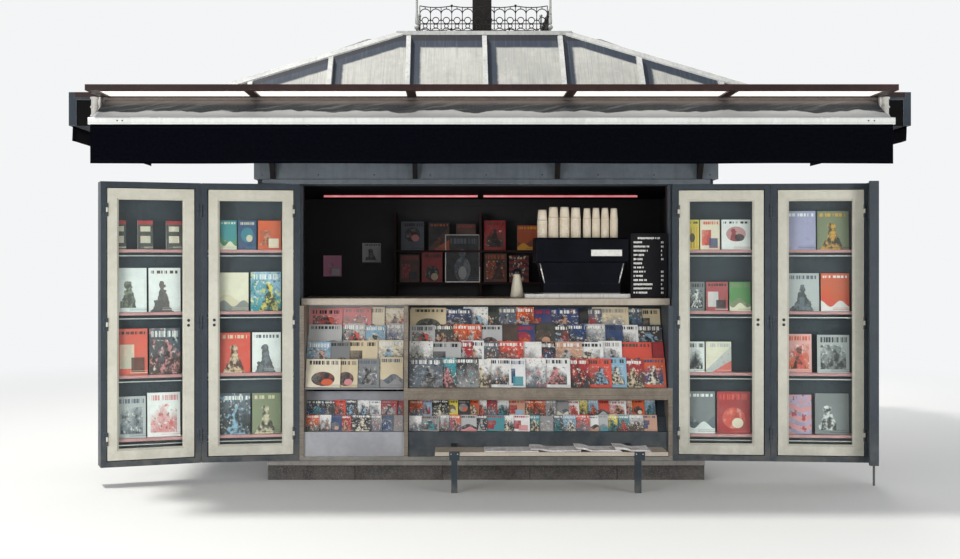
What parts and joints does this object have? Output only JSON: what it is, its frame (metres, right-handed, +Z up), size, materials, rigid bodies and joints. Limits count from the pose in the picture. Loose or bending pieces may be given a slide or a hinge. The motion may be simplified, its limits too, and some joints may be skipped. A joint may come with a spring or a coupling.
{
  "type": "street kiosk",
  "caption": "Street kiosk with folding display wings, serving counter, magazine racks, lit canopy, awning and hipped roof with iron cresting.",
  "frame": {"origin": "on the ground, under the centre of the outer box, which is the centre of the kiosk", "axes": "+Z up, -Y towards the customer at the serving side, +X to the customer's right"},
  "size_m": [5.49, 4.79, 3.972],
  "materials": {
    "stone": "dark granite blocks, weathered matt",
    "slate_paint": "satin slate blue-grey paint on steel sheet",
    "frame_metal": "satin anodised aluminium",
    "dark_lining": "matt black paint",
    "light_strip": "glowing pink diffuser",
    "brown_steel": "dark maroon-brown gloss paint on steel",
    "milky_panel": "translucent milky panels lit by the sky",
    "zinc": "weathered mottled zinc sheet",
    "flashing": "pale folded flashing",
    "black_iron": "black painted cast iron",
    "white_metal": "white powder coat",
    "arm_black": "black powder coat",
    "awning_cloth": "dark grey acrylic awning cloth",
    "valance_cloth": "black-navy acrylic valance",
    "eave_grey": "mid grey paint",
    "pink_shelf": "dusty pink paint",
    "door_cream": "cream-white powder coat",
    "glass": "clear glass",
    "counter_board": "grey-beige laminated board",
    "pale_rack": "pale grey paint",
    "machine_navy": "gloss navy-black enamel",
    "paper_cup": "cream paper",
    "steel": "brushed stainless steel",
    "shelf_dark": "dark stained board"
  },
  "bodies": {
    "kiosk": {"plinth": "stone", "floor_deck": "frame_metal", "side_walls": "slate_paint", "rear_wall": "slate_paint", "service_door": "slate_paint", "front_jambs": "slate_paint", "front_fascia": "slate_paint", "opening_frame": "frame_metal", "ceiling": "dark_lining", "ceiling_lights": "light_strip", "canopy_beams": "brown_steel", "canopy_struts": "brown_steel", "canopy_panels": "milky_panel", "canopy_deck": "zinc", "roof_shell": "zinc", "roof_ribs": "zinc", "roof_flashing": "flashing", "cresting": "black_iron", "roof_posts": "black_iron", "awning_cassette": "white_metal", "awning_arms": "arm_black", "awning_fabric": "awning_cloth", "awning_front_bar": "white_metal", "awning_valance": "valance_cloth", "side_eaves": "eave_grey", "side_valances": "valance_cloth", "case_1": "slate_paint", "case_2": "slate_paint", "case_3": "slate_paint", "case_4": "slate_paint", "case_shelves": "pink_shelf", "closing_post": "slate_paint", "counter_top": "counter_board", "magazine_rack": "slate_paint", "rack_trim": "counter_board", "left_display": "pale_rack", "bench_board": "counter_board", "bench_legs": "arm_black", "coffee_machine": "machine_navy", "cup_stacks": "paper_cup", "carafe": "steel", "menu_board": "dark_lining", "back_shelves": "shelf_dark"},
    "door_1": {"door_1": "door_cream", "glass_1": "glass"},
    "door_2": {"door_2": "door_cream", "glass_2": "glass"},
    "door_3": {"door_3": "door_cream", "glass_3": "glass"},
    "door_4": {"door_4": "door_cream", "glass_4": "glass"}
  },
  "joints": [
    {"name": "door_1_hinge", "type": "hinge", "parent": "kiosk", "child": "door_1", "pos_m": [-2.61889, -1.52206, 1.127], "axis": [0, 0, -1], "range_deg": [0, 100]},
    {"name": "door_2_hinge", "type": "hinge", "parent": "kiosk", "child": "door_2", "pos_m": [-1.37304, -1.18513, 1.127], "axis": [0, 0, 1], "range_deg": [0, 100]},
    {"name": "door_3_hinge", "type": "hinge", "parent": "kiosk", "child": "door_3", "pos_m": [1.37422, -1.18142, 1.127], "axis": [0, 0, -1], "range_deg": [0, 100]},
    {"name": "door_4_hinge", "type": "hinge", "parent": "kiosk", "child": "door_4", "pos_m": [2.66738, -1.29226, 1.127], "axis": [0, 0, 1], "range_deg": [0, 90]}
  ]
}
